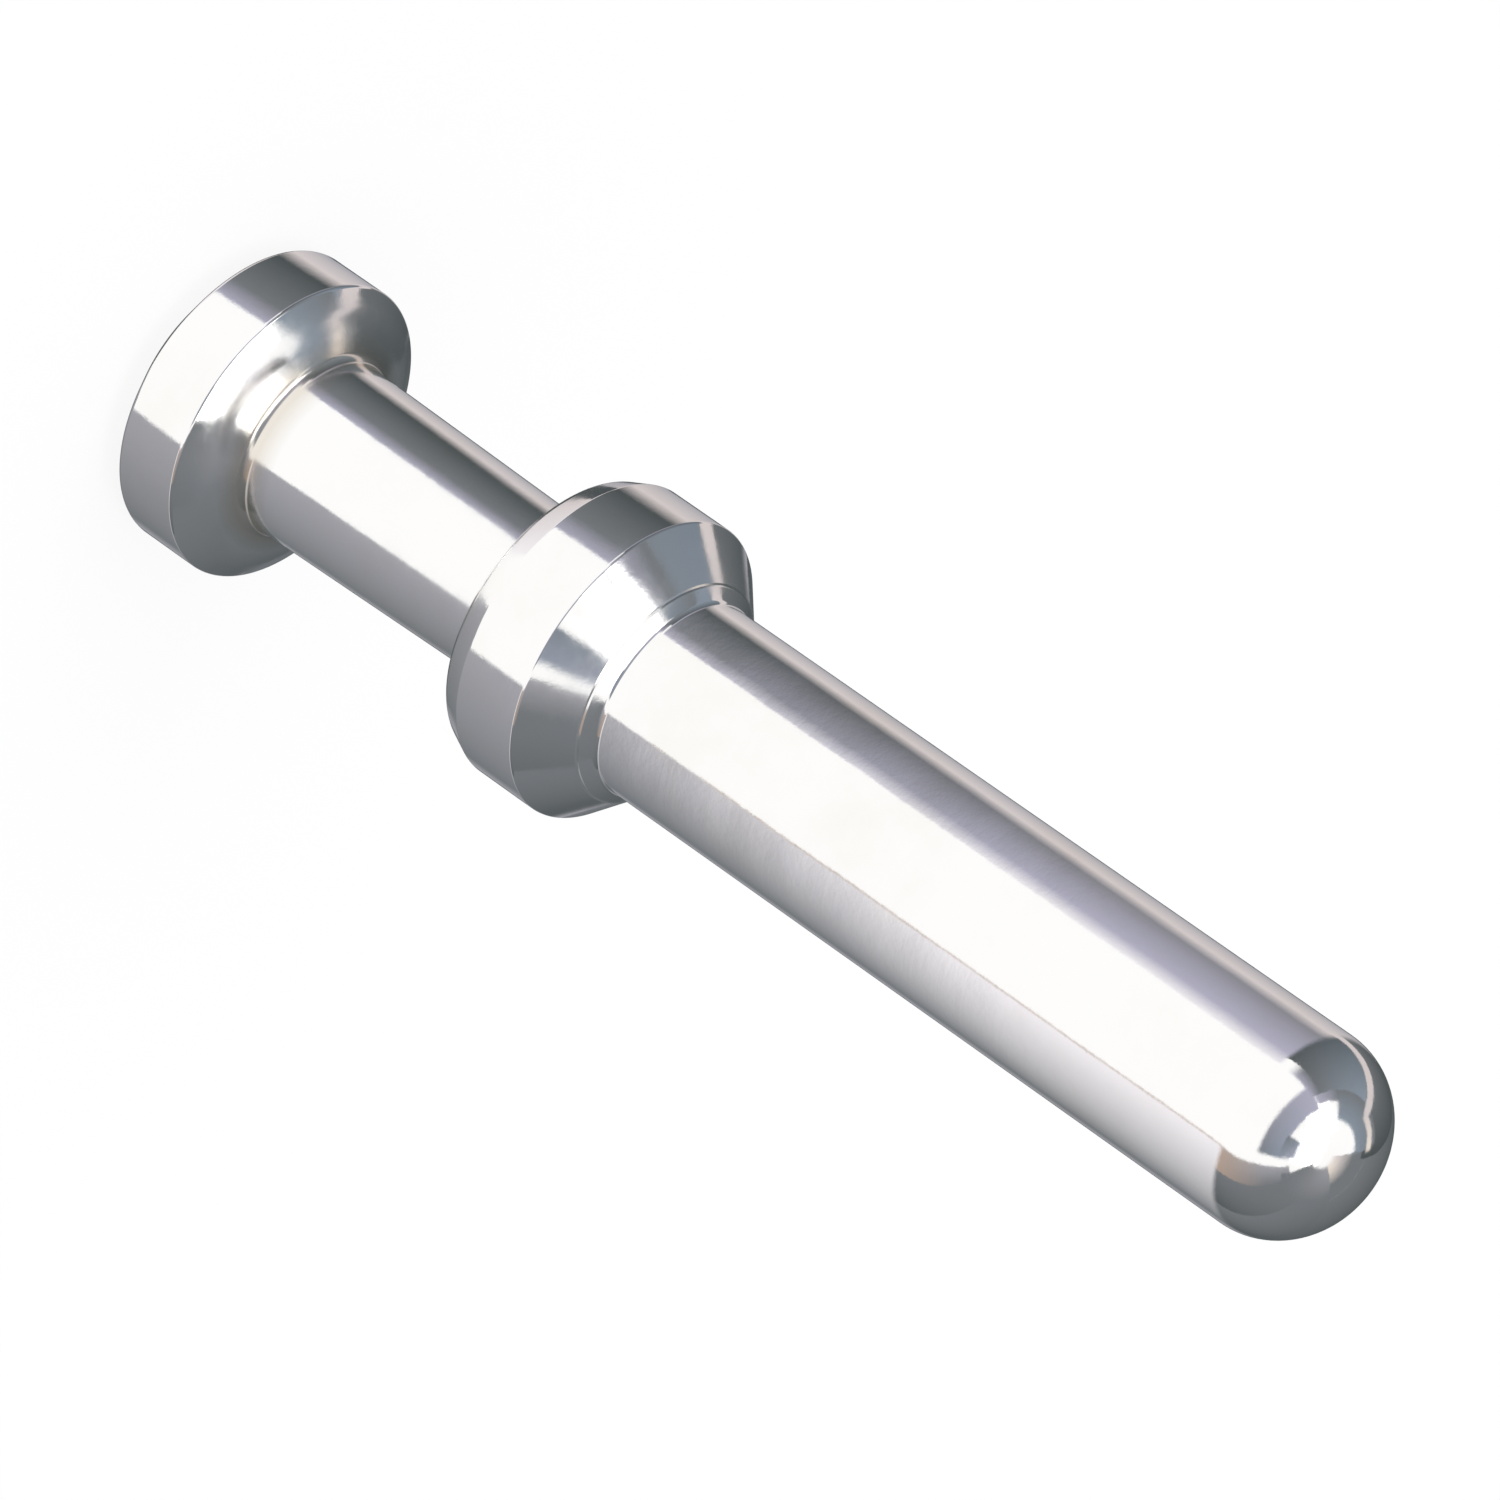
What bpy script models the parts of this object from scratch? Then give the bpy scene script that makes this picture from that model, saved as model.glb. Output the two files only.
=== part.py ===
"""Crimp pin contact, turned from brass bar in one piece and silver plated.

The contact stands on the flat rear face of its head, with the tip of its pin straight up.
Its axis is the Z axis and the rear face lies at Z = 0. The stripped wire enters a blind bore
in the rear face, and the crimping tool squeezes the neck on to it. The head and the collar
keep the contact in its insulator, and the pin mates with the socket contact.
All lengths are in metres.
"""

import math
from typing import NamedTuple

import bpy
from mathutils import Vector

MM = 0.001

# Pin
PIN_DIAMETER = 2.5 * MM
PIN_LENGTH = 10.56 * MM
NOSE_LENGTH = 1.12 * MM

# Collar
COLLAR_DIAMETER = 3.86 * MM
COLLAR_LAND_LENGTH = 0.88 * MM
COLLAR_REAR_FACE_DIAMETER = 3.53 * MM
COLLAR_REAR_CHAMFER_LENGTH = 0.38 * MM
COLLAR_FRONT_ANGLE = math.radians(45)

# Neck, which tapers slightly towards the collar
NECK_LENGTH = 3.97 * MM
NECK_REAR_DIAMETER = 2.28 * MM
NECK_FRONT_DIAMETER = 2.13 * MM

# Head
HEAD_DIAMETER = 3.85 * MM
HEAD_LAND_LENGTH = 0.86 * MM
HEAD_REAR_FACE_DIAMETER = 2.9 * MM
HEAD_REAR_CHAMFER_LENGTH = 0.33 * MM
HEAD_FRONT_CHAMFER_ANGLE = math.radians(57)
HEAD_FRONT_FACE_DIAMETER = 3.2 * MM
HEAD_FRONT_FACE_ANGLE = math.radians(72)

# Wire bore, drilled from the rear face to just short of the collar
BORE_DIAMETER = 1.3 * MM
BORE_MOUTH_DIAMETER = 1.9 * MM
BORE_MOUTH_ANGLE = math.radians(45)
BORE_END_TO_COLLAR = 0.45 * MM
DRILL_POINT_ANGLE = math.radians(118)

# Radii where two turned faces meet
PIN_ROOT_FILLET = 0.1 * MM
NECK_REAR_FILLET = 0.15 * MM
NECK_FRONT_FILLET = 0.08 * MM
FRONT_EDGE_RADIUS = 0.06 * MM
REAR_EDGE_RADIUS = 0.07 * MM

# Fineness of the faceted surface
TURN_STEPS = 72
NOSE_STEPS = 12
BLEND_STEPS = 6
SMOOTH_ANGLE = math.radians(26)

# Places along the axis, counted from the rear face
HEAD_LAND_END = HEAD_REAR_CHAMFER_LENGTH + HEAD_LAND_LENGTH
HEAD_FRONT_CHAMFER_RISE = (HEAD_DIAMETER - HEAD_FRONT_FACE_DIAMETER) / 2
HEAD_FRONT_FACE_START = HEAD_LAND_END + HEAD_FRONT_CHAMFER_RISE / math.tan(HEAD_FRONT_CHAMFER_ANGLE)
HEAD_FRONT_FACE_RISE = (HEAD_FRONT_FACE_DIAMETER - NECK_REAR_DIAMETER) / 2
NECK_START = HEAD_FRONT_FACE_START + HEAD_FRONT_FACE_RISE / math.tan(HEAD_FRONT_FACE_ANGLE)
COLLAR_START = NECK_START + NECK_LENGTH
COLLAR_LAND_START = COLLAR_START + COLLAR_REAR_CHAMFER_LENGTH
COLLAR_LAND_END = COLLAR_LAND_START + COLLAR_LAND_LENGTH
PIN_START = COLLAR_LAND_END + (COLLAR_DIAMETER - PIN_DIAMETER) / 2 / math.tan(COLLAR_FRONT_ANGLE)
TIP = PIN_START + PIN_LENGTH
BORE_END = COLLAR_START - BORE_END_TO_COLLAR
BORE_MOUTH_DEPTH = (BORE_MOUTH_DIAMETER - BORE_DIAMETER) / 2 / math.tan(BORE_MOUTH_ANGLE)
DRILL_POINT_LENGTH = BORE_DIAMETER / 2 / math.tan(DRILL_POINT_ANGLE / 2)


class Corner(NamedTuple):
    """Where two straight stretches of the contour meet, and the radius that blends them."""

    diameter: float
    height: float
    blend: float = 0.0


def corners_below_nose():
    """The contour's corners, down the outer side and up into the bore."""
    return [
        Corner(PIN_DIAMETER, TIP - NOSE_LENGTH),
        Corner(PIN_DIAMETER, PIN_START, PIN_ROOT_FILLET),
        Corner(COLLAR_DIAMETER, COLLAR_LAND_END, FRONT_EDGE_RADIUS),
        Corner(COLLAR_DIAMETER, COLLAR_LAND_START, REAR_EDGE_RADIUS),
        Corner(COLLAR_REAR_FACE_DIAMETER, COLLAR_START, REAR_EDGE_RADIUS),
        Corner(NECK_FRONT_DIAMETER, COLLAR_START, NECK_FRONT_FILLET),
        Corner(NECK_REAR_DIAMETER, NECK_START, NECK_REAR_FILLET),
        Corner(HEAD_FRONT_FACE_DIAMETER, HEAD_FRONT_FACE_START, FRONT_EDGE_RADIUS),
        Corner(HEAD_DIAMETER, HEAD_LAND_END, FRONT_EDGE_RADIUS),
        Corner(HEAD_DIAMETER, HEAD_REAR_CHAMFER_LENGTH, REAR_EDGE_RADIUS),
        Corner(HEAD_REAR_FACE_DIAMETER, 0.0),
        Corner(BORE_MOUTH_DIAMETER, 0.0),
        Corner(BORE_DIAMETER, BORE_MOUTH_DEPTH),
        Corner(BORE_DIAMETER, BORE_END),
        Corner(0.0, BORE_END + DRILL_POINT_LENGTH),
    ]


def nose():
    """Points of the rounded nose, from the tip on the axis to just above the straight pin."""
    quarter_turn = math.pi / 2
    points = []
    for step in range(NOSE_STEPS):
        angle = quarter_turn * step / NOSE_STEPS
        radius = PIN_DIAMETER / 2 * math.sin(angle)
        height = TIP - NOSE_LENGTH * (1 - math.cos(angle))
        points.append(Vector((radius, height)))
    return points


def blend(before, corner, after, radius):
    """Points of the arc that rounds a corner, with no more than half of either side used up."""
    to_before = before - corner
    to_after = after - corner
    half_angle = to_before.angle(to_after) / 2
    setback = radius / math.tan(half_angle)
    setback = min(setback, to_before.length / 2, to_after.length / 2)
    start = corner + to_before.normalized() * setback
    end = corner + to_after.normalized() * setback
    to_centre = (to_before.normalized() + to_after.normalized()).normalized()
    centre = corner + to_centre * setback / math.cos(half_angle)
    spoke = start - centre
    sweep = spoke.angle_signed(end - centre)
    points = []
    for step in range(BLEND_STEPS + 1):
        angle = -sweep * step / BLEND_STEPS
        turned_spoke = Vector(
            (
                spoke.x * math.cos(angle) - spoke.y * math.sin(angle),
                spoke.x * math.sin(angle) + spoke.y * math.cos(angle),
            )
        )
        points.append(centre + turned_spoke)
    return points


def contour():
    """The whole contour as points of radius and height, from the tip to the end of the bore."""
    corners = corners_below_nose()
    places = [Vector((corner.diameter / 2, corner.height)) for corner in corners]
    points = nose()
    for index, corner in enumerate(corners):
        if corner.blend > 0:
            points += blend(places[index - 1], places[index], places[index + 1], corner.blend)
        else:
            points.append(places[index])
    return points


def silver_plating():
    """Bright silver over the turned brass, slightly warm and satin."""
    material = bpy.data.materials.new("silver_plating")
    material.use_nodes = True
    shader = material.node_tree.nodes["Principled BSDF"]
    shader.inputs["Base Color"].default_value = (0.83, 0.82, 0.80, 1.0)
    shader.inputs["Metallic"].default_value = 1.0
    shader.inputs["Roughness"].default_value = 0.22
    return material


def turned(name, points, material, collection):
    """A solid of revolution about the Z axis, from a contour of radius and height.

    The contour starts and ends on the axis and runs down its outer side.
    """
    profile = bpy.data.meshes.new(name + "_contour")
    edges = [(index, index + 1) for index in range(len(points) - 1)]
    profile.from_pydata([(point.x, 0.0, point.y) for point in points], edges, [])
    lathe = bpy.data.objects.new(name, profile)
    collection.objects.link(lathe)
    screw = lathe.modifiers.new("Turn", "SCREW")
    screw.axis = "Z"
    screw.angle = math.tau
    screw.steps = TURN_STEPS
    screw.render_steps = TURN_STEPS
    screw.use_merge_vertices = True
    screw.merge_threshold = 1e-7
    bpy.context.view_layer.update()
    evaluated = lathe.evaluated_get(bpy.context.evaluated_depsgraph_get())
    mesh = bpy.data.meshes.new_from_object(evaluated)
    lathe.modifiers.clear()
    lathe.data = mesh
    bpy.data.meshes.remove(profile)
    mesh.name = name
    mesh.materials.append(material)
    mesh.shade_smooth()
    mesh.set_sharp_from_angle(angle=SMOOTH_ANGLE)
    return lathe


def main():
    """Clear the scene and turn the contact."""
    for leftover in list(bpy.data.objects):
        bpy.data.objects.remove(leftover, do_unlink=True)
    collection = bpy.data.collections.new("crimp_pin_contact")
    bpy.context.scene.collection.children.link(collection)
    turned("pin_contact", contour(), silver_plating(), collection)


main()
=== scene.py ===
"""Crimp pin contact: turned from brass bar in one piece and silver plated.

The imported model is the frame. Its one solid is replaced by a finer turning of the same
contour. The contact stands on the flat rear face of its head, with its axis straight up, on a
plain white floor in soft light. All lengths are in metres.
"""

import logging
import math
from dataclasses import dataclass
from dataclasses import field
from enum import Enum
from typing import Any

import bmesh
import bpy
from mathutils import Matrix
from mathutils import Vector


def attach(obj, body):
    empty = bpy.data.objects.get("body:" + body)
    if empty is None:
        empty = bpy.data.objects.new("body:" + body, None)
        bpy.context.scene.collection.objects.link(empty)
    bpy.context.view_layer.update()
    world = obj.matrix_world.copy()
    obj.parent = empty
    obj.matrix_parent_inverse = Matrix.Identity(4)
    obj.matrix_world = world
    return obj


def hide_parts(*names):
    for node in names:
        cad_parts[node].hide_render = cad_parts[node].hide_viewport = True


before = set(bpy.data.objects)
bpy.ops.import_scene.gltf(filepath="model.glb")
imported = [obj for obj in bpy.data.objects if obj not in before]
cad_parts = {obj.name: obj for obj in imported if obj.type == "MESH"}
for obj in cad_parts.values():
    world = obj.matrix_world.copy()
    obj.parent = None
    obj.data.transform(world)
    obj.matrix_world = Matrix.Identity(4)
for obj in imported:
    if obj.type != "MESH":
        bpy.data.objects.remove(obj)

LOG = logging.getLogger("contact")
MM = 0.001
QUARTER_TURN = math.pi / 2


def linear(hex_colour: str) -> tuple[float, float, float, float]:
    """Turns an sRGB colour into the linear one that a shader takes.

    Args:
        hex_colour: six hexadecimal digits, such as "F8F5F0".

    Returns:
        Linear red, green and blue, and an alpha of 1.
    """
    channels = []
    for start in (0, 2, 4):
        value = int(hex_colour[start:start + 2], 16) / 255
        channels.append(value / 12.92 if value <= 0.04045 else ((value + 0.055) / 1.055) ** 2.4)
    return (channels[0], channels[1], channels[2], 1.0)


def add_node(
    tree: bpy.types.NodeTree,
    kind: str,
    settings: dict[str | int, Any] | None = None,
    links: dict[str | int, bpy.types.NodeSocket] | None = None,
) -> bpy.types.Node:
    """Adds a node to a tree, with its settings and links.

    Args:
        tree: the tree that gets the node.
        kind: Blender's name for the type of node.
        settings: values for the node's properties, and for inputs by name or number.
        links: the socket that feeds each linked input, by the input's name or number.

    Returns:
        The new node.
    """
    node = tree.nodes.new(kind)
    for key, value in (settings or {}).items():
        if isinstance(key, str) and hasattr(node, key):
            setattr(node, key, value)
        else:
            node.inputs[key].default_value = value
    for key, socket in (links or {}).items():
        tree.links.new(socket, node.inputs[key])
    return node


def new_material(name: str) -> bpy.types.Material:
    """Makes a material with an empty node tree.

    Args:
        name: the material's name.

    Returns:
        The material.
    """
    material = bpy.data.materials.new(name)
    material.use_nodes = True
    material.node_tree.nodes.clear()
    return material


def new_object(name: str, mesh: bpy.types.Mesh) -> bpy.types.Object:
    """Puts a mesh into the scene as an object at the origin.

    Args:
        name: the object's name.
        mesh: its mesh.

    Returns:
        The object.
    """
    made = bpy.data.objects.new(name, mesh)
    bpy.context.scene.collection.objects.link(made)
    return made


class Cut(Enum):
    """How a stretch of the surface was cut, as the roughness that its tool marks leave."""

    TURNED = 0.0
    FACED = 0.35
    DRILLED = 1.0


@dataclass(frozen=True)
class Corner:
    """Where two straight stretches of the contour meet.

    Attributes:
        diameter: the contact's diameter there.
        height: the height above the rear face.
        blend: the radius that rounds the corner, or 0.
        cut: how the surface near the corner was cut.
        painted_sheen_and_shade: how much brass colour is painted there as warm reflection and shade, from 0
            to 1.
    """

    diameter: float
    height: float
    blend: float = 0.0
    cut: Cut = Cut.TURNED
    painted_sheen_and_shade: float = 0.0


@dataclass(frozen=True)
class SilverPlating:
    """Bright silver, electroplated over turned brass.

    Silver is the whitest of metals, with a faint warmth that grows where it mirrors itself.
    The plating is a few micrometres thick and follows the rings that the tool left, so mirror
    images stretch a little along the contact and their edges waver.

    Attributes:
        bright: the clean plating's colour.
        toned: its colour where it has begun to tarnish.
        painted_sheen_and_shade: the brass colour painted as a warm reflection in inner corners and as shade
            in the bore.
        roughness: the clean plating's roughness on a turned surface.
        rough_spread: how far the roughness wanders from that.
        drilled_roughness: what a drilled surface adds.
        ring_pitch: the distance from one tool ring to the next. The real feed is about half of
            this, which is too fine to show.
        ring_depth: the depth of a tool ring.
        ripple_width: the width of the waviness that bends mirror images.
        ripple_depth: the depth of that waviness.
        grain_width: the width of the fine mottling in the plating.
        grain_depth: the depth of that mottling.
        grain_span: the values of its noise between which the roughness wanders.
        tone_width: the width of the patches that have begun to tarnish.
        tone_span: the values of their noise at which the tarnish starts and is complete.
    """

    bright: str = "FEFDFC"
    toned: str = "FBF9F5"
    # Brass colour painted as a warm reflection in inner corners and as shade in the bore
    painted_sheen_and_shade: str = "C9B48C"
    roughness: float = 0.07
    rough_spread: float = 0.03
    drilled_roughness: float = 0.25
    ring_pitch: float = 0.07 * MM
    ring_depth: float = 0.00015 * MM
    ripple_width: float = 0.9 * MM
    ripple_depth: float = 0.005 * MM
    grain_width: float = 0.16 * MM
    grain_depth: float = 0.0009 * MM
    grain_span: tuple[float, float] = (0.3, 0.7)
    tone_width: float = 1.7 * MM
    tone_span: tuple[float, float] = (0.42, 0.75)

    def material(self) -> bpy.types.Material:
        """Builds the plating's material.

        Returns:
            The material.
        """
        made = new_material("silver_plated_turned_brass")
        tree = made.node_tree
        place = add_node(tree, "ShaderNodeTexCoord").outputs["Object"]
        along, cut, painted_sheen_and_shade = (
            add_node(tree, "ShaderNodeAttribute", {"attribute_name": name}).outputs["Fac"]
            for name in ("along", "cut", "painted_sheen_and_shade")
        )

        tone = add_node(
            tree,
            "ShaderNodeTexNoise",
            {"Scale": 1 / self.tone_width, "Detail": 4.0, "Roughness": 0.6},
            {"Vector": place},
        )
        tarnish = add_node(
            tree,
            "ShaderNodeMapRange",
            {
                "From Min": self.tone_span[0],
                "From Max": self.tone_span[1],
                "interpolation_type": "SMOOTHSTEP",
            },
            {"Value": tone.outputs["Fac"]},
        )
        plated = add_node(
            tree,
            "ShaderNodeMix",
            {"data_type": "RGBA", 6: linear(self.bright), 7: linear(self.toned)},
            {0: tarnish.outputs["Result"]},
        )
        # Mixes in the brass colour as a painted warm reflection in inner corners and painted shade in the
        # bore
        colour = add_node(
            tree,
            "ShaderNodeMix",
            {"data_type": "RGBA", 7: linear(self.painted_sheen_and_shade)},
            {0: painted_sheen_and_shade, 6: plated.outputs[2]},
        )

        grain = add_node(
            tree,
            "ShaderNodeTexNoise",
            {"Scale": 1 / self.grain_width, "Detail": 3.0, "Roughness": 0.65},
            {"Vector": place},
        )
        wander = add_node(
            tree,
            "ShaderNodeMapRange",
            {
                "From Min": self.grain_span[0],
                "From Max": self.grain_span[1],
                "To Min": self.roughness - self.rough_spread,
                "To Max": self.roughness + self.rough_spread,
            },
            {"Value": grain.outputs["Fac"]},
        )
        rough = add_node(
            tree,
            "ShaderNodeMath",
            {"operation": "MULTIPLY_ADD", 1: self.drilled_roughness},
            {0: cut, 2: wander.outputs["Result"]},
        )

        rings_at = add_node(tree, "ShaderNodeMath", {"operation": "DIVIDE", 1: self.ring_pitch}, {0: along})
        rings = add_node(
            tree,
            "ShaderNodeTexNoise",
            {"noise_dimensions": "1D", "Scale": 1.0, "Detail": 2.0},
            {"W": rings_at.outputs[0]},
        )
        ripple = add_node(
            tree,
            "ShaderNodeTexNoise",
            {"Scale": 1 / self.ripple_width, "Detail": 1.0, "Roughness": 0.4},
            {"Vector": place},
        )
        bent = add_node(
            tree,
            "ShaderNodeBump",
            {"Strength": 1.0, "Distance": self.ripple_depth},
            {"Height": ripple.outputs["Fac"]},
        )
        mottled = add_node(
            tree,
            "ShaderNodeBump",
            {"Strength": 1.0, "Distance": self.grain_depth},
            {"Height": grain.outputs["Fac"], "Normal": bent.outputs["Normal"]},
        )
        ringed = add_node(
            tree,
            "ShaderNodeBump",
            {"Strength": 1.0, "Distance": self.ring_depth},
            {"Height": rings.outputs["Fac"], "Normal": mottled.outputs["Normal"]},
        )
        shader = add_node(
            tree,
            "ShaderNodeBsdfPrincipled",
            {"Metallic": 1.0},
            {
                "Base Color": colour.outputs[2],
                "Roughness": rough.outputs[0],
                "Normal": ringed.outputs["Normal"],
            },
        )
        add_node(tree, "ShaderNodeOutputMaterial", None, {"Surface": shader.outputs[0]})
        return made


@dataclass(frozen=True)
class Lathe:
    """Turns a contour of radius and height into a solid, with Geometry Nodes.

    Attributes:
        steps_round: facets once round the axis.
        steps_in_blend: points in each rounded corner.
        smooth_below_deg: edges flatter than this are shaded smooth.
        weld: points closer than this become one.
    """

    steps_round: int = 160
    steps_in_blend: int = 12
    smooth_below_deg: float = 28.0
    weld: float = 0.0001 * MM

    def carried(self, tree: bpy.types.NodeTree, name: str) -> bpy.types.NodeSocket:
        """Reads a number that the contour's points carry.

        Args:
            tree: the tree that asks.
            name: the number's name.

        Returns:
            The socket that gives the number.
        """
        settings = {"data_type": "FLOAT", "Name": name}
        return add_node(tree, "GeometryNodeInputNamedAttribute", settings).outputs[0]

    def sampled(
        self,
        tree: bpy.types.NodeTree,
        kind: str,
        contour: bpy.types.NodeSocket,
        value: bpy.types.NodeSocket,
        row: bpy.types.NodeSocket,
    ) -> bpy.types.NodeSocket:
        """Looks a value up at one point of the contour.

        Args:
            tree: the tree that asks.
            kind: the value's data type.
            contour: the rounded contour.
            value: what to look up.
            row: the number of the contour's point.

        Returns:
            The socket that gives the value there.
        """
        settings = {"data_type": kind, "domain": "POINT"}
        return add_node(
            tree, "GeometryNodeSampleIndex", settings, {0: contour, 1: value, "Index": row}
        ).outputs[0]

    def tree(self) -> bpy.types.NodeTree:
        """Builds the node tree: corners are rounded, then the contour is turned about Z.

        The turned surface starts as a flat grid with one column for each step round the axis
        and one row for each point of the rounded contour. Each of the grid's points takes its
        place, its length along the contour, its cut and its painted sheen and shade from its row's point.

        Returns:
            The tree, with inputs for the steps, the smoothing angle and the weld.
        """
        tree = bpy.data.node_groups.new("turned_from_contour", "GeometryNodeTree")
        for name, kind in (
            ("Contour", "NodeSocketGeometry"),
            ("Steps round", "NodeSocketInt"),
            ("Steps in a blend", "NodeSocketInt"),
            ("Smooth below", "NodeSocketFloat"),
            ("Weld", "NodeSocketFloat"),
        ):
            tree.interface.new_socket(name, in_out="INPUT", socket_type=kind)
        tree.interface.new_socket("Solid", in_out="OUTPUT", socket_type="NodeSocketGeometry")
        given = add_node(tree, "NodeGroupInput").outputs

        as_curve = add_node(tree, "GeometryNodeMeshToCurve", None, {0: given["Contour"]}).outputs[0]
        rounded = add_node(
            tree,
            "GeometryNodeFilletCurve",
            {"mode": "POLY", "Limit Radius": True},
            {0: as_curve, "Count": given["Steps in a blend"], "Radius": self.carried(tree, "blend")},
        ).outputs[0]

        points = add_node(
            tree, "GeometryNodeAttributeDomainSize", {"component": "CURVE"}, {0: rounded}
        ).outputs["Point Count"]
        columns = add_node(
            tree, "FunctionNodeIntegerMath", {"operation": "ADD", 1: 1}, {0: given["Steps round"]}
        ).outputs[0]
        grid = add_node(tree, "GeometryNodeMeshGrid", None, {"Vertices X": columns, "Vertices Y": points})
        index = add_node(tree, "GeometryNodeInputIndex").outputs[0]
        row = add_node(
            tree, "FunctionNodeIntegerMath", {"operation": "MODULO"}, {0: index, 1: points}
        ).outputs[0]
        column = add_node(
            tree, "FunctionNodeIntegerMath", {"operation": "DIVIDE"}, {0: index, 1: points}
        ).outputs[0]

        place = add_node(tree, "GeometryNodeInputPosition").outputs[0]
        on_contour = self.sampled(tree, "FLOAT_VECTOR", rounded, place, row)
        step = add_node(
            tree, "ShaderNodeMath", {"operation": "DIVIDE", 0: math.tau}, {1: given["Steps round"]}
        ).outputs[0]
        angle = add_node(tree, "ShaderNodeMath", {"operation": "MULTIPLY"}, {0: column, 1: step}).outputs[0]
        swung = add_node(
            tree,
            "ShaderNodeVectorRotate",
            {"rotation_type": "Z_AXIS"},
            {"Vector": on_contour, "Angle": angle},
        ).outputs[0]
        turned = add_node(
            tree, "GeometryNodeSetPosition", None, {"Geometry": grid.outputs["Mesh"], "Position": swung}
        ).outputs[0]
        # The grid's faces look inwards once it is turned
        solid = add_node(tree, "GeometryNodeFlipFaces", None, {0: turned}).outputs[0]
        for name, value in (
            ("along", add_node(tree, "GeometryNodeSplineParameter").outputs["Length"]),
            ("cut", self.carried(tree, "cut")),
            # How much painted warm reflection and shade each point carries
            ("painted_sheen_and_shade", self.carried(tree, "painted_sheen_and_shade")),
        ):
            solid = add_node(
                tree,
                "GeometryNodeStoreNamedAttribute",
                {"data_type": "FLOAT", "domain": "POINT", "Name": name},
                {0: solid, "Value": self.sampled(tree, "FLOAT", rounded, value, row)},
            ).outputs[0]
        welded = add_node(
            tree, "GeometryNodeMergeByDistance", None, {0: solid, "Distance": given["Weld"]}
        ).outputs[0]

        bend = add_node(tree, "GeometryNodeInputMeshEdgeAngle").outputs["Unsigned Angle"]
        sharp = add_node(
            tree,
            "FunctionNodeCompare",
            {"data_type": "FLOAT", "operation": "GREATER_THAN"},
            {0: bend, 1: given["Smooth below"]},
        ).outputs[0]
        smooth = add_node(
            tree, "GeometryNodeSetShadeSmooth", {"domain": "FACE", "Shade Smooth": True}, {0: welded}
        ).outputs[0]
        shaded = add_node(
            tree,
            "GeometryNodeSetShadeSmooth",
            {"domain": "EDGE", "Shade Smooth": False},
            {0: smooth, "Selection": sharp},
        ).outputs[0]
        add_node(tree, "NodeGroupOutput", None, {0: shaded})
        return tree

    def turn(self, name: str, corners: list[Corner], finish: bpy.types.Material) -> bpy.types.Object:
        """Turns a solid from its corners.

        Args:
            name: the solid's name.
            corners: the contour's corners, from the axis down the outer side and back to it.
            finish: the solid's material.

        Returns:
            The solid, as a plain mesh with no modifier.
        """
        contour = bpy.data.meshes.new(name + "_contour")
        edges = [(index, index + 1) for index in range(len(corners) - 1)]
        contour.from_pydata([(corner.diameter / 2, 0.0, corner.height) for corner in corners], edges, [])
        for carried, values in (
            ("blend", [corner.blend for corner in corners]),
            ("cut", [corner.cut.value for corner in corners]),
            # How much painted warm reflection and shade each corner carries
            ("painted_sheen_and_shade", [corner.painted_sheen_and_shade for corner in corners]),
        ):
            contour.attributes.new(carried, "FLOAT", "POINT").data.foreach_set("value", values)
        solid = new_object(name, contour)
        tree = self.tree()
        wanted = {
            "Steps round": self.steps_round,
            "Steps in a blend": self.steps_in_blend,
            "Smooth below": math.radians(self.smooth_below_deg),
            "Weld": self.weld,
        }
        modifier = solid.modifiers.new("turn", "NODES")
        modifier.node_group = tree
        for socket in tree.interface.items_tree:
            if socket.name in wanted:
                modifier[socket.identifier] = wanted[socket.name]
        evaluated = solid.evaluated_get(bpy.context.evaluated_depsgraph_get())
        mesh = bpy.data.meshes.new_from_object(evaluated)
        solid.modifiers.clear()
        solid.data = mesh
        mesh.name = name
        # Blender gives a mesh made from nodes an empty slot first
        mesh.materials.clear()
        mesh.materials.append(finish)
        bpy.data.meshes.remove(contour)
        bpy.data.node_groups.remove(tree)
        return solid


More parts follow.
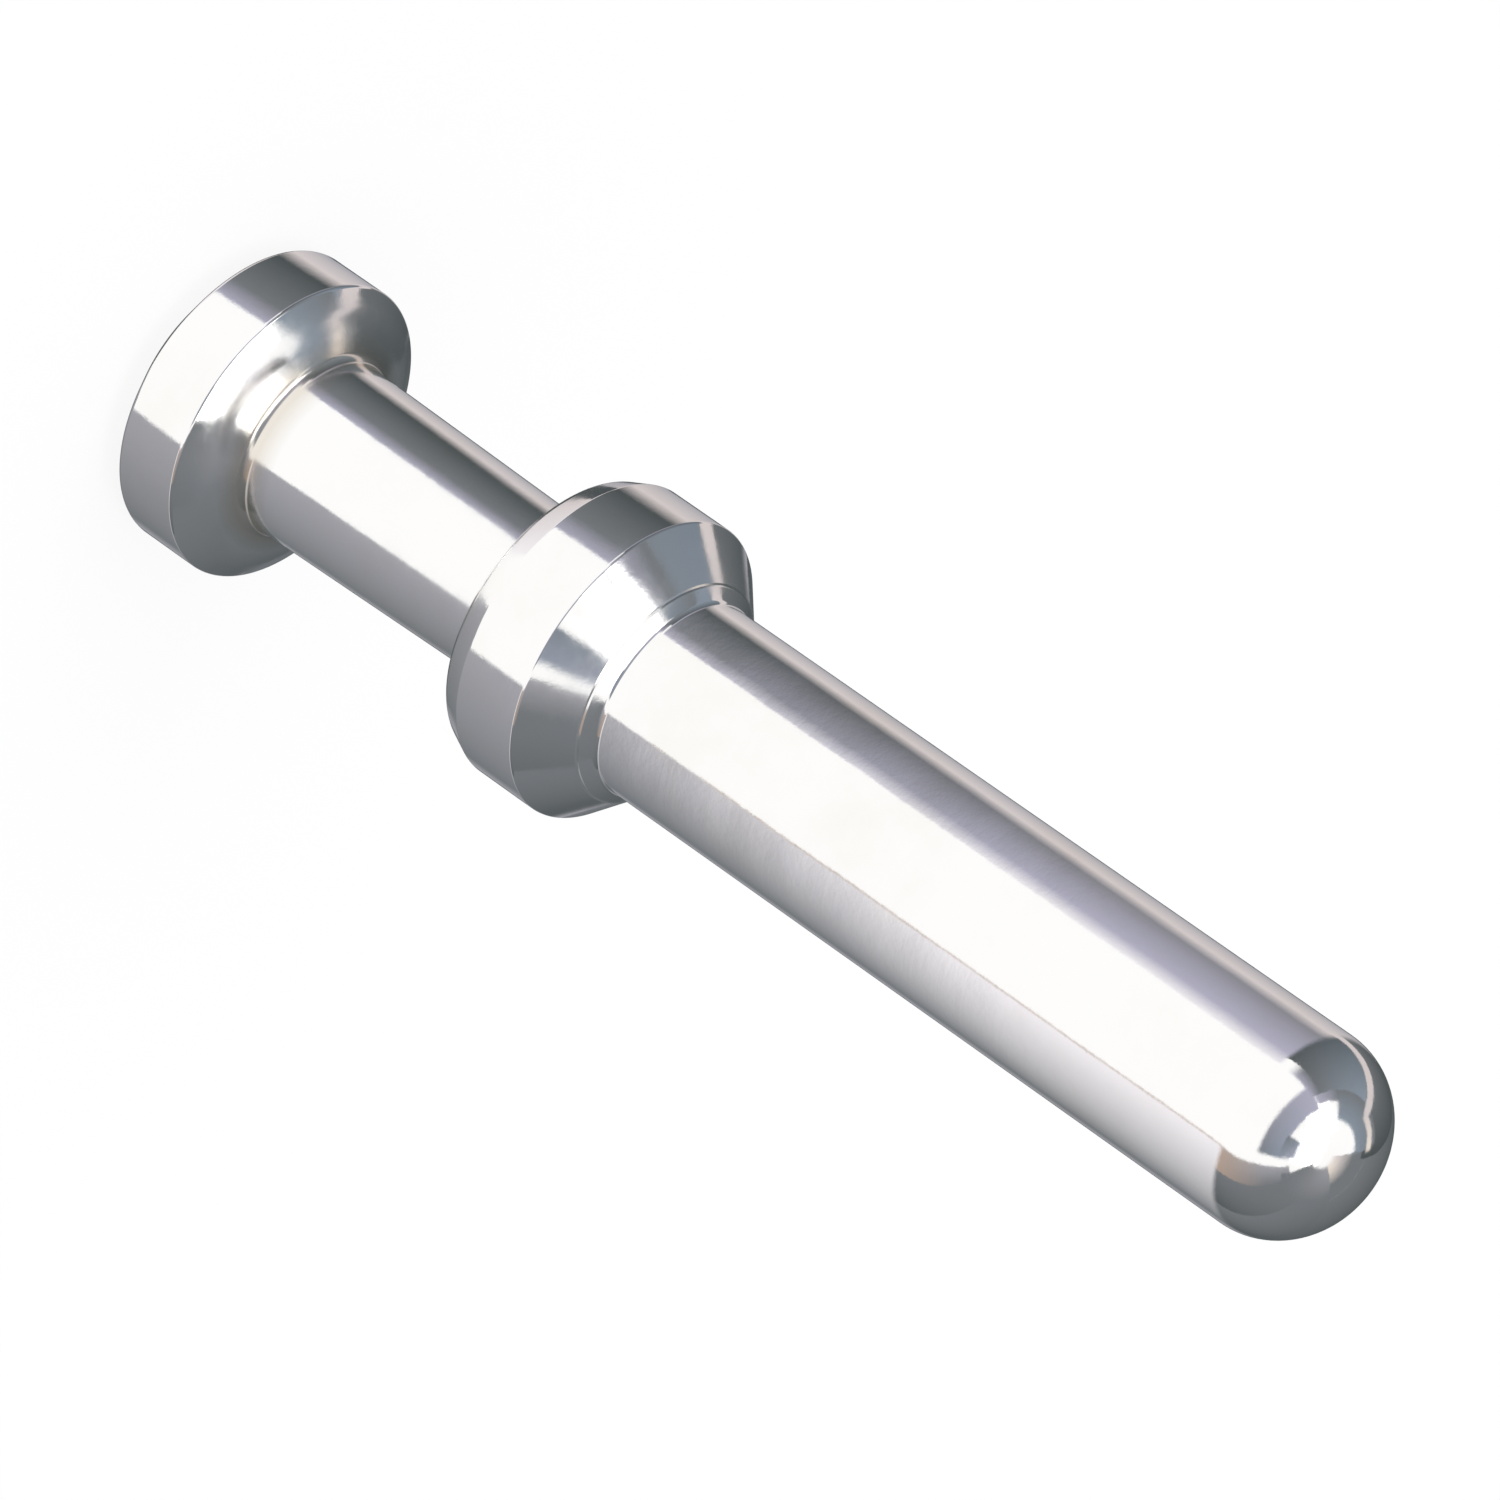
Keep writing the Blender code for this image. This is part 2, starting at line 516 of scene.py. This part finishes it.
@dataclass
class PinContact:
    """The contact: nose, pin, collar, neck, head and wire bore, all in one piece.

    Each diameter, length along the axis, cone angle from the axis and corner radius is named
    for its place, from the tip down to the rear face and into the bore. The rest of the
    contour follows from them.

    Attributes:
        pin_length: from the collar's cone to the tip.
        nose_length: how much of that is rounded.
        nose_steps: points along the rounded nose.
        collar_land_length: the straight part of the collar's rim, as head_land_length is of
            the head's.
        collar_front_angle: the cone's angle on the whole.
        cone_outer_angle: its angle outside the ring line. Inside the line it is wider than
            on the whole, to end where the pin starts.
        bore_end_to_collar: what is left between the bore's straight end and the collar.
        head_front_blend: the radius that runs the head's two front cones into each other.
        painted_sheen_reach: how far up the neck the painted warm reflection of its rear corner fades out.
        painted_sheen_at_neck_root: how much brass colour is painted as a warm reflection in the neck's
            rear corner.
        painted_shade_at_bore_mouth: how much brass colour is painted as shade where the bore starts.
        painted_shade_in_bore: the same deep in the bore.
        ring_line_diameter: where the fine line runs round the collar's cone.
        ring_line_width: its width along the cone.
        ring_line_depth: its depth.
        finish: the plating.
        lathe: what turns the contour into a solid.
    """

    pin_diameter: float = 2.5 * MM
    pin_length: float = 10.56 * MM
    nose_length: float = 1.12 * MM
    nose_steps: int = 28

    collar_diameter: float = 3.86 * MM
    collar_land_length: float = 0.88 * MM
    collar_rear_face_diameter: float = 3.53 * MM
    collar_rear_chamfer_length: float = 0.38 * MM
    collar_front_angle: float = math.radians(45)
    cone_outer_angle: float = math.radians(43.5)

    neck_length: float = 3.97 * MM
    neck_rear_diameter: float = 2.28 * MM
    neck_front_diameter: float = 2.13 * MM

    head_diameter: float = 3.85 * MM
    head_land_length: float = 0.86 * MM
    head_rear_face_diameter: float = 2.9 * MM
    head_rear_chamfer_length: float = 0.33 * MM
    head_front_chamfer_angle: float = math.radians(57)
    head_front_face_diameter: float = 3.2 * MM
    head_front_face_angle: float = math.radians(72)

    bore_diameter: float = 1.3 * MM
    bore_mouth_diameter: float = 1.9 * MM
    bore_mouth_angle: float = math.radians(45)
    bore_end_to_collar: float = 0.45 * MM
    drill_point_angle: float = math.radians(118)

    pin_root_fillet: float = 0.1 * MM
    neck_rear_fillet: float = 0.15 * MM
    neck_front_fillet: float = 0.08 * MM
    front_edge_radius: float = 0.06 * MM
    rear_edge_radius: float = 0.07 * MM
    collar_rear_edge_radius: float = 0.2 * MM
    head_front_blend: float = 1.2 * MM

    painted_sheen_reach: float = 0.4 * MM
    painted_sheen_at_neck_root: float = 0.35
    painted_shade_at_bore_mouth: float = 0.3
    painted_shade_in_bore: float = 0.8

    ring_line_diameter: float = 2.84 * MM
    ring_line_width: float = 0.045 * MM
    ring_line_depth: float = 0.012 * MM

    finish: SilverPlating = field(default_factory=SilverPlating)
    lathe: Lathe = field(default_factory=Lathe)

    def nose(self, tip: float) -> list[Corner]:
        """Follows the rounded nose, a quarter of an ellipse.

        Args:
            tip: the height of the tip.

        Returns:
            Corners from the tip, on the axis, to just above the straight pin.
        """
        corners = []
        for step in range(self.nose_steps):
            angle = QUARTER_TURN * step / self.nose_steps
            height = tip - self.nose_length * (1 - math.cos(angle))
            corners.append(Corner(self.pin_diameter * math.sin(angle), height))
        return corners

    def ring_line(self, collar_land_end: float) -> list[Corner]:
        """Cuts the fine line round the collar's cone, where the tool was set over a little.

        Args:
            collar_land_end: the height at which the cone starts.

        Returns:
            The line's upper edge, bottom and lower edge.
        """
        fall = (self.collar_diameter - self.ring_line_diameter) / 2
        height = collar_land_end + fall / math.tan(self.cone_outer_angle)
        across = self.ring_line_width / 2 * math.sin(self.cone_outer_angle)
        along = self.ring_line_width / 2 * math.cos(self.cone_outer_angle)
        inward = self.ring_line_depth * math.cos(self.cone_outer_angle)
        downward = self.ring_line_depth * math.sin(self.cone_outer_angle)
        return [
            Corner(self.ring_line_diameter - 2 * across, height + along, cut=Cut.FACED),
            Corner(self.ring_line_diameter - 2 * inward, height - downward, cut=Cut.FACED),
            Corner(self.ring_line_diameter + 2 * across, height - along, cut=Cut.FACED),
        ]

    def corners(self) -> list[Corner]:
        """Follows the whole contour.

        Returns:
            Corners from the tip down the outer side to the rear face and up to the end of the bore.
        """
        head_land_end = self.head_rear_chamfer_length + self.head_land_length
        head_chamfer_rise = (self.head_diameter - self.head_front_face_diameter) / 2
        head_face_start = head_land_end + head_chamfer_rise / math.tan(self.head_front_chamfer_angle)
        head_face_rise = (self.head_front_face_diameter - self.neck_rear_diameter) / 2
        neck_start = head_face_start + head_face_rise / math.tan(self.head_front_face_angle)
        collar_start = neck_start + self.neck_length
        collar_land_start = collar_start + self.collar_rear_chamfer_length
        collar_land_end = collar_land_start + self.collar_land_length
        collar_rise = (self.collar_diameter - self.pin_diameter) / 2
        pin_start = collar_land_end + collar_rise / math.tan(self.collar_front_angle)
        tip = pin_start + self.pin_length
        neck_taper = (self.neck_rear_diameter - self.neck_front_diameter) / self.neck_length
        # The neck's diameter where the painted warm reflection of its rear corner has faded out
        sheen_end_diameter = self.neck_rear_diameter - neck_taper * self.painted_sheen_reach
        bore_end = collar_start - self.bore_end_to_collar
        bore_widening = (self.bore_mouth_diameter - self.bore_diameter) / 2
        bore_mouth_depth = bore_widening / math.tan(self.bore_mouth_angle)
        drill_point_length = self.bore_diameter / 2 / math.tan(self.drill_point_angle / 2)
        return [
            *self.nose(tip),
            Corner(self.pin_diameter, tip - self.nose_length),
            Corner(self.pin_diameter, pin_start, self.pin_root_fillet),
            *self.ring_line(collar_land_end),
            Corner(self.collar_diameter, collar_land_end, self.front_edge_radius),
            Corner(self.collar_diameter, collar_land_start, self.rear_edge_radius),
            Corner(self.collar_rear_face_diameter, collar_start, self.collar_rear_edge_radius, Cut.FACED),
            Corner(self.neck_front_diameter, collar_start, self.neck_front_fillet, Cut.FACED),
            # Painted warm reflection in the neck's rear corner, fading out up the neck
            Corner(sheen_end_diameter, neck_start + self.painted_sheen_reach),
            Corner(
                self.neck_rear_diameter, neck_start, self.neck_rear_fillet, Cut.FACED, self.painted_sheen_at_neck_root
            ),
            Corner(self.head_front_face_diameter, head_face_start, self.head_front_blend, Cut.FACED),
            Corner(self.head_diameter, head_land_end, self.front_edge_radius),
            Corner(self.head_diameter, self.head_rear_chamfer_length, self.rear_edge_radius),
            Corner(self.head_rear_face_diameter, 0.0, cut=Cut.FACED),
            Corner(self.bore_mouth_diameter, 0.0, cut=Cut.FACED),
            # Painted shade at the bore's mouth and down the bore
            Corner(self.bore_diameter, bore_mouth_depth, cut=Cut.DRILLED, painted_sheen_and_shade=self.painted_shade_at_bore_mouth),
            Corner(self.bore_diameter, bore_end, cut=Cut.DRILLED, painted_sheen_and_shade=self.painted_shade_in_bore),
            Corner(0.0, bore_end + drill_point_length, cut=Cut.DRILLED, painted_sheen_and_shade=self.painted_shade_in_bore),
        ]

    def build(self) -> bpy.types.Object:
        """Turns and plates the contact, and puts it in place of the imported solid.

        Returns:
            The contact.
        """
        contact = self.lathe.turn("turned_contact", self.corners(), self.finish.material())
        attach(contact, "root")
        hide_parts("pin_contact")
        LOG.info("%s: %d faces", contact.name, len(contact.data.polygons))
        return contact


class Tone(Enum):
    """The few paints of the cards, as sRGB colours."""

    WHITE = "F6F3F7"
    ROSE = "D4CCCC"
    LILAC = "B0AFC2"
    PALE_GREY = "A3A3AA"
    MID_GREY = "8A8A92"
    GREY = "74787C"
    DARK = "4C5254"
    BLUE_GREY = "8A96A4"
    BEIGE = "EADFD4"
    TAN = "B8A292"


@dataclass(frozen=True)
class Card:
    """A painted card beside the contact, which only its mirror-bright surface sees.

    The cards lie on a globe round the contact's middle, which reaches below the floor's level,
    because mirror images don't see the floor. Directions are counted in degrees: round the axis
    from the camera's side, positive towards -X, and up from level.

    Attributes:
        name: the card's name.
        round_deg: where it starts and ends round the axis.
        up_deg: how high it starts and ends.
        tones: its paint at the start and the end of its lower edge.
        high_tones: the same at its upper edge, where that differs.
        turn_up: shares of its height where the lower paints start and end turning into these.
        soft_deg: how far round it fades in at its start and out at its end.
        soft_up: share of its height over which it fades in at the bottom and out at the top.
        distance: the globe's radius. Where two cards overlap, the nearer one is seen.
        middle: the height of the globe's centre.
        parts: how many facets its surface has, round the axis and upwards.
    """

    name: str
    round_deg: tuple[float, float]
    up_deg: tuple[float, float]
    tones: tuple[Tone, Tone]
    high_tones: tuple[Tone, Tone] | None = None
    turn_up: tuple[float, float] = (0.0, 1.0)
    soft_deg: tuple[float, float] = (0.0, 0.0)
    soft_up: tuple[float, float] = (0.0, 0.0)
    distance: float = 150 * MM
    middle: float = 9 * MM
    parts: tuple[int, int] = (48, 12)

    def point(self, across: float, upward: float) -> Vector:
        """Finds a point of the card.

        Args:
            across: 0 at the card's start and 1 at its end, round the axis.
            upward: 0 at its lower edge and 1 at its upper one.

        Returns:
            The point.
        """
        turn = math.radians(self.round_deg[0] + (self.round_deg[1] - self.round_deg[0]) * across)
        rise = math.radians(self.up_deg[0] + (self.up_deg[1] - self.up_deg[0]) * upward)
        level = math.cos(rise) * self.distance
        return Vector(
            (-math.sin(turn) * level, -math.cos(turn) * level, self.middle + math.sin(rise) * self.distance)
        )

    def mesh(self) -> bpy.types.Mesh:
        """Lays out the card's surface.

        Returns:
            The mesh, with U round the axis and V upwards.
        """
        bm = bmesh.new()
        bmesh.ops.create_grid(bm, x_segments=self.parts[0], y_segments=self.parts[1], size=0.5)
        layer = bm.loops.layers.uv.verify()
        for face in bm.faces:
            for loop in face.loops:
                loop[layer].uv = (loop.vert.co.x + 0.5, loop.vert.co.y + 0.5)
        for vertex in bm.verts:
            vertex.co = self.point(vertex.co.x + 0.5, vertex.co.y + 0.5)
        mesh = bpy.data.meshes.new(self.name)
        bm.to_mesh(mesh)
        bm.free()
        return mesh

    def blended(
        self, tree: bpy.types.NodeTree, tones: tuple[Tone, Tone], share: bpy.types.NodeSocket
    ) -> bpy.types.NodeSocket:
        """Runs one paint into another across the card.

        Args:
            tree: the card's tree.
            tones: the paints at the start and the end.
            share: the socket that runs from 0 to 1 across the card.

        Returns:
            The socket that gives the colour.
        """
        ends = {"data_type": "RGBA", 6: linear(tones[0].value), 7: linear(tones[1].value)}
        return add_node(tree, "ShaderNodeMix", ends, {0: share}).outputs[2]

    def shown(self, tree: bpy.types.NodeTree, uv: bpy.types.Node) -> bpy.types.NodeSocket:
        """Fades the card out at its soft edges.

        Args:
            tree: the card's tree.
            uv: the node that splits the place on the card into X and Y.

        Returns:
            The socket that is 1 where the card is solid and 0 where it has faded out.
        """
        width = abs(self.round_deg[1] - self.round_deg[0])
        shown = add_node(tree, "ShaderNodeValue")
        shown.outputs[0].default_value = 1.0
        for axis, edge, softness in (
            ("X", 0.0, self.soft_deg[0] / width),
            ("X", 1.0, self.soft_deg[1] / width),
            ("Y", 0.0, self.soft_up[0]),
            ("Y", 1.0, self.soft_up[1]),
        ):
            if softness == 0.0:
                continue
            solid_from = edge + softness * (1.0 - 2.0 * edge)
            fade = add_node(
                tree,
                "ShaderNodeMapRange",
                {"From Min": edge, "From Max": solid_from, "interpolation_type": "SMOOTHSTEP"},
                {"Value": uv.outputs[axis]},
            )
            shown = add_node(
                tree, "ShaderNodeMath", {"operation": "MULTIPLY"}, {0: shown.outputs[0], 1: fade.outputs[0]}
            )
        return shown.outputs[0]

    def material(self) -> bpy.types.Material:
        """Paints the card with a plain glow, no brighter than the white round it.

        Returns:
            The material.
        """
        made = new_material(self.name)
        tree = made.node_tree
        place = add_node(tree, "ShaderNodeUVMap")
        uv = add_node(tree, "ShaderNodeSeparateXYZ", None, {0: place.outputs[0]})
        low = self.blended(tree, self.tones, uv.outputs["X"])
        high = self.blended(tree, self.high_tones or self.tones, uv.outputs["X"])
        upward = add_node(
            tree,
            "ShaderNodeMapRange",
            {"From Min": self.turn_up[0], "From Max": self.turn_up[1]},
            {"Value": uv.outputs["Y"]},
        ).outputs["Result"]
        colour = add_node(
            tree, "ShaderNodeMix", {"data_type": "RGBA"}, {0: upward, 6: low, 7: high}
        ).outputs[2]
        glow = add_node(tree, "ShaderNodeEmission", None, {"Color": colour}).outputs[0]
        clear = add_node(tree, "ShaderNodeBsdfTransparent").outputs[0]
        mixed = add_node(
            tree, "ShaderNodeMixShader", None, {0: self.shown(tree, uv), 1: clear, 2: glow}
        )
        add_node(tree, "ShaderNodeOutputMaterial", None, {"Surface": mixed.outputs[0]})
        return made

    def build(self) -> None:
        """Sets the card up as part of the stage."""
        card = new_object(self.name, self.mesh())
        card.data.materials.append(self.material())
        card.visible_camera = False
        card.visible_diffuse = False
        card.visible_shadow = False
        card.visible_transmission = False
        LOG.info("%s: staged", card.name)


# How high the low cards and those under them reach, in degrees from level
LOW_CARDS = (-46.0, -12.0)
UNDER_CARDS = (-80.0, -46.0)

# Shares of a low card's height between which the pin's stripes turn paler
ALONG_PIN = (0.46, 0.67)

# Shares of a low card's height over which its bottom and its top fade, and the level, in
# degrees, down to which the upper cards reach behind it, so that no white shows between them
SOFT_TOP = (0.0, 0.2)
OVERLAP = -28.0

# The low cards' distance, half of the upper ones'
NEAR = 75 * MM

CARDS = (
    # Low cards, which the contact's upright walls mirror as long stripes. The turn of their
    # paints makes the stripes paler towards the tip of the pin.
    Card("right_low", (-50, -148), LOW_CARDS, (Tone.PALE_GREY, Tone.GREY), (Tone.WHITE, Tone.GREY),
         turn_up=ALONG_PIN, soft_deg=(3, 0), soft_up=SOFT_TOP, distance=NEAR),
    Card("right_rear_low", (-148, -165), LOW_CARDS, (Tone.GREY, Tone.PALE_GREY), soft_up=SOFT_TOP,
         distance=NEAR),
    Card("rear_low", (165, 195), LOW_CARDS, (Tone.DARK, Tone.GREY), soft_up=SOFT_TOP, distance=NEAR),
    Card("left_rear_low", (165, 126), LOW_CARDS, (Tone.PALE_GREY, Tone.ROSE), soft_up=SOFT_TOP,
         distance=NEAR),
    Card("left_turn_low", (126, 110), LOW_CARDS, (Tone.ROSE, Tone.DARK), (Tone.ROSE, Tone.MID_GREY),
         turn_up=ALONG_PIN, soft_up=SOFT_TOP, distance=NEAR),
    Card("left_low", (110, 66), LOW_CARDS, (Tone.DARK, Tone.GREY), (Tone.MID_GREY, Tone.LILAC),
         turn_up=ALONG_PIN, soft_up=SOFT_TOP, distance=NEAR),
    Card("left_front_low", (66, 49), LOW_CARDS, (Tone.GREY, Tone.LILAC), (Tone.LILAC, Tone.WHITE),
         turn_up=ALONG_PIN, soft_deg=(0, 3), soft_up=SOFT_TOP, distance=NEAR),
    # Cards under those, which the rear chamfers mirror
    Card("left_under", (45, 126), UNDER_CARDS, (Tone.WHITE, Tone.ROSE), distance=NEAR),
    Card("rear_under", (126, 210), UNDER_CARDS, (Tone.DARK, Tone.DARK), distance=NEAR),
    Card("right_under", (-150, -45), UNDER_CARDS, (Tone.GREY, Tone.PALE_GREY), distance=NEAR),
    # Cards higher up, which the cones and the nose mirror
    Card("front_strip", (55, -40), (20, 50), (Tone.LILAC, Tone.GREY), (Tone.LILAC, Tone.BLUE_GREY),
         soft_deg=(5, 5), soft_up=(0.2, 0.1)),
    Card("left_start", (46, 60), (-8, 35), (Tone.LILAC, Tone.GREY), soft_deg=(4, 0), soft_up=(0.35, 0.0)),
    Card("left_block", (60, 124), (OVERLAP, 35), (Tone.DARK, Tone.DARK), (Tone.GREY, Tone.BLUE_GREY)),
    Card("left_upper", (52, 86), (35, 46), (Tone.LILAC, Tone.GREY), soft_deg=(3, 0), soft_up=(0.0, 0.25)),
    Card("left_high", (78, 158), (35, 62), (Tone.GREY, Tone.GREY), (Tone.BLUE_GREY, Tone.BLUE_GREY),
         soft_deg=(8, 0), soft_up=(0.0, 0.15), distance=148 * MM),
    Card("pale_post", (124, 135), (OVERLAP, 46), (Tone.ROSE, Tone.ROSE), soft_deg=(2, 2), soft_up=(0.0, 0.1),
         distance=146 * MM),
    Card("pale_bar", (126, 162), (38, 47), (Tone.ROSE, Tone.BEIGE), soft_deg=(3, 4), soft_up=(0.3, 0.3),
         distance=147 * MM),
    Card("left_rear_block", (124, 165), (OVERLAP, 50), (Tone.GREY, Tone.DARK)),
    Card("rear_block", (165, 206), (OVERLAP, 44), (Tone.DARK, Tone.DARK), (Tone.GREY, Tone.GREY)),
    Card("rear_high", (156, 206), (44, 84), (Tone.GREY, Tone.GREY), (Tone.ROSE, Tone.BEIGE),
         turn_up=(0.4, 0.8), soft_up=(0.0, 0.2), distance=152 * MM),
    Card("right_rear_block", (206, 244), (OVERLAP, 50), (Tone.DARK, Tone.GREY), (Tone.GREY, Tone.GREY)),
    Card("right_block", (244, 284), (OVERLAP, 50), (Tone.DARK, Tone.GREY), (Tone.GREY, Tone.GREY)),
    Card("right_high", (206, 300), (50, 82), (Tone.GREY, Tone.GREY), (Tone.PALE_GREY, Tone.GREY),
         soft_deg=(0, 4), soft_up=(0.0, 0.15)),
    Card("tan_block", (284, 311), (OVERLAP, 36), (Tone.TAN, Tone.TAN), (Tone.GREY, Tone.PALE_GREY),
         soft_deg=(0, 3)),
    Card("right_front_block", (284, 311), (36, 58), (Tone.GREY, Tone.PALE_GREY), soft_deg=(0, 3)),
    Card("blue_card", (-3, -42), (46, 65), (Tone.GREY, Tone.BLUE_GREY), (Tone.BLUE_GREY, Tone.LILAC),
         soft_deg=(5, 9), soft_up=(0.0, 0.3), distance=148 * MM),
)


@dataclass
class Studio:
    """The plain floor, the soft light and the cards that give bright metal its dark stripes.

    Attributes:
        floor_size: the floor's width and depth.
        floor_colour: the colour of its lit share.
        shadowless_share: how much of it glows white by itself, so that shadows stay faint.
        world_light: how brightly the surroundings light things. To the eye they are white.
        lamp_size: each lamp's width.
        lamp_power: each lamp's power in watts.
        lamp_places: where the lamps hang.
        cards: the painted cards.
    """

    floor_size: float = 4.0
    floor_colour: str = "FFFFFF"
    shadowless_share: float = 0.85
    world_light: float = 0.85
    lamp_size: float = 0.35
    lamp_power: float = 0.5
    lamp_places: tuple[tuple[float, float, float], ...] = ((-0.28, -0.24, 0.55), (0.05, -0.2, 0.65))
    cards: tuple[Card, ...] = CARDS

    def seen(self, tree: bpy.types.NodeTree) -> bpy.types.NodeSocket:
        """Tells the rays that see the background from those that carry light.

        Args:
            tree: the tree that asks.

        Returns:
            The socket that is 1 for camera, glossy and transmission rays.
        """
        path = add_node(tree, "ShaderNodeLightPath").outputs
        seen = path["Is Camera Ray"]
        for ray in ("Is Glossy Ray", "Is Transmission Ray"):
            seen = add_node(
                tree, "ShaderNodeMath", {"operation": "MAXIMUM"}, {0: seen, 1: path[ray]}
            ).outputs[0]
        return seen

    def floor(self) -> None:
        """Lays a plain white floor that keeps the contact's shadow."""
        half = self.floor_size / 2
        corners = [(-half, -half, 0), (half, -half, 0), (half, half, 0), (-half, half, 0)]
        mesh = bpy.data.meshes.new("floor")
        mesh.from_pydata(corners, [], [(0, 1, 2, 3)])
        floor = new_object("floor", mesh)
        made = new_material("white_floor")
        tree = made.node_tree
        share = add_node(
            tree, "ShaderNodeMath", {"operation": "MULTIPLY", 1: self.shadowless_share}, {0: self.seen(tree)}
        ).outputs[0]
        lit = add_node(tree, "ShaderNodeBsdfDiffuse", {"Color": linear(self.floor_colour)}).outputs[0]
        white = add_node(tree, "ShaderNodeEmission", {"Strength": 1.0}).outputs[0]
        mixed = add_node(tree, "ShaderNodeMixShader", None, {0: share, 1: lit, 2: white})
        add_node(tree, "ShaderNodeOutputMaterial", None, {"Surface": mixed.outputs[0]})
        mesh.materials.append(made)
        floor.visible_glossy = False
        LOG.info("floor: staged")

    def world(self) -> None:
        """Surrounds the stage with white, at a plain level of light."""
        world = bpy.data.worlds.new("white_surroundings")
        world.use_nodes = True
        tree = world.node_tree
        tree.nodes.clear()
        strength = add_node(
            tree,
            "ShaderNodeMapRange",
            {"To Min": self.world_light, "To Max": 1.0},
            {"Value": self.seen(tree)},
        ).outputs["Result"]
        white = add_node(tree, "ShaderNodeBackground", {"Color": linear("FFFFFF")}, {"Strength": strength})
        add_node(tree, "ShaderNodeOutputWorld", None, {"Surface": white.outputs[0]})
        bpy.context.scene.world = world

    def lamps(self) -> None:
        """Hangs soft square lamps over the contact."""
        for number, place in enumerate(self.lamp_places):
            data = bpy.data.lights.new(f"soft_lamp_{number + 1}", "AREA")
            data.shape = "SQUARE"
            data.size = self.lamp_size
            data.energy = self.lamp_power
            lamp = bpy.data.objects.new(data.name, data)
            lamp.location = place
            lamp.rotation_euler = (-Vector(place)).to_track_quat("-Z", "Y").to_euler()
            bpy.context.scene.collection.objects.link(lamp)

    def build(self) -> None:
        """Sets up the whole stage."""
        self.floor()
        self.world()
        self.lamps()
        for card in self.cards:
            card.build()


@dataclass(frozen=True)
class Viewpoint:
    """The photograph's camera, which looks down at the standing contact and is rolled.

    Attributes:
        axis_angle: the angle between the contact's axis and the line of sight.
        axis_turn: how far below level the axis runs in the picture.
        rear_left: how far left of the picture's centre the rear face's centre is.
        rear_above: how far above the picture's centre it is.
        distance: how far from the camera it is, along the line of sight.
        sensor_mm: the sensor's width.
        lens_mm: the focal length.
        clips_at: the nearest and the farthest distance that the camera shows.
    """

    axis_angle: float = math.radians(60)
    axis_turn: float = math.radians(35.03)
    rear_left: float = 6.139 * MM
    rear_above: float = 4.268 * MM
    distance: float = 139.262 * MM
    sensor_mm: float = 36.0
    lens_mm: float = 288.0
    clips_at: tuple[float, float] = (1 * MM, 10.0)

    def build(self) -> bpy.types.Object:
        """Sets up the camera.

        Returns:
            The camera.
        """
        level_right = Vector((1.0, 0.0, 0.0))
        level_up = Vector((0.0, math.cos(self.axis_angle), math.sin(self.axis_angle)))
        backward = Vector((0.0, -math.sin(self.axis_angle), math.cos(self.axis_angle)))
        roll = QUARTER_TURN + self.axis_turn
        right = level_right * math.cos(roll) + level_up * math.sin(roll)
        up = level_up * math.cos(roll) - level_right * math.sin(roll)
        place = right * self.rear_left - up * self.rear_above + backward * self.distance
        data = bpy.data.cameras.new("camera")
        data.sensor_width = self.sensor_mm
        data.lens = self.lens_mm
        data.clip_start, data.clip_end = self.clips_at
        camera = bpy.data.objects.new("camera", data)
        turned = Matrix((right, up, backward)).transposed()
        camera.matrix_world = Matrix.Translation(place) @ turned.to_4x4()
        bpy.context.scene.collection.objects.link(camera)
        bpy.context.scene.camera = camera
        return camera


def main() -> None:
    """Builds the camera, the contact and the stage in order."""
    logging.basicConfig(level=logging.INFO, format="%(message)s")
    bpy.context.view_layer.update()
    bpy.context.scene.view_settings.view_transform = "Standard"
    Viewpoint().build()
    PinContact().build()
    Studio().build()


if __name__ == "__main__":
    main()
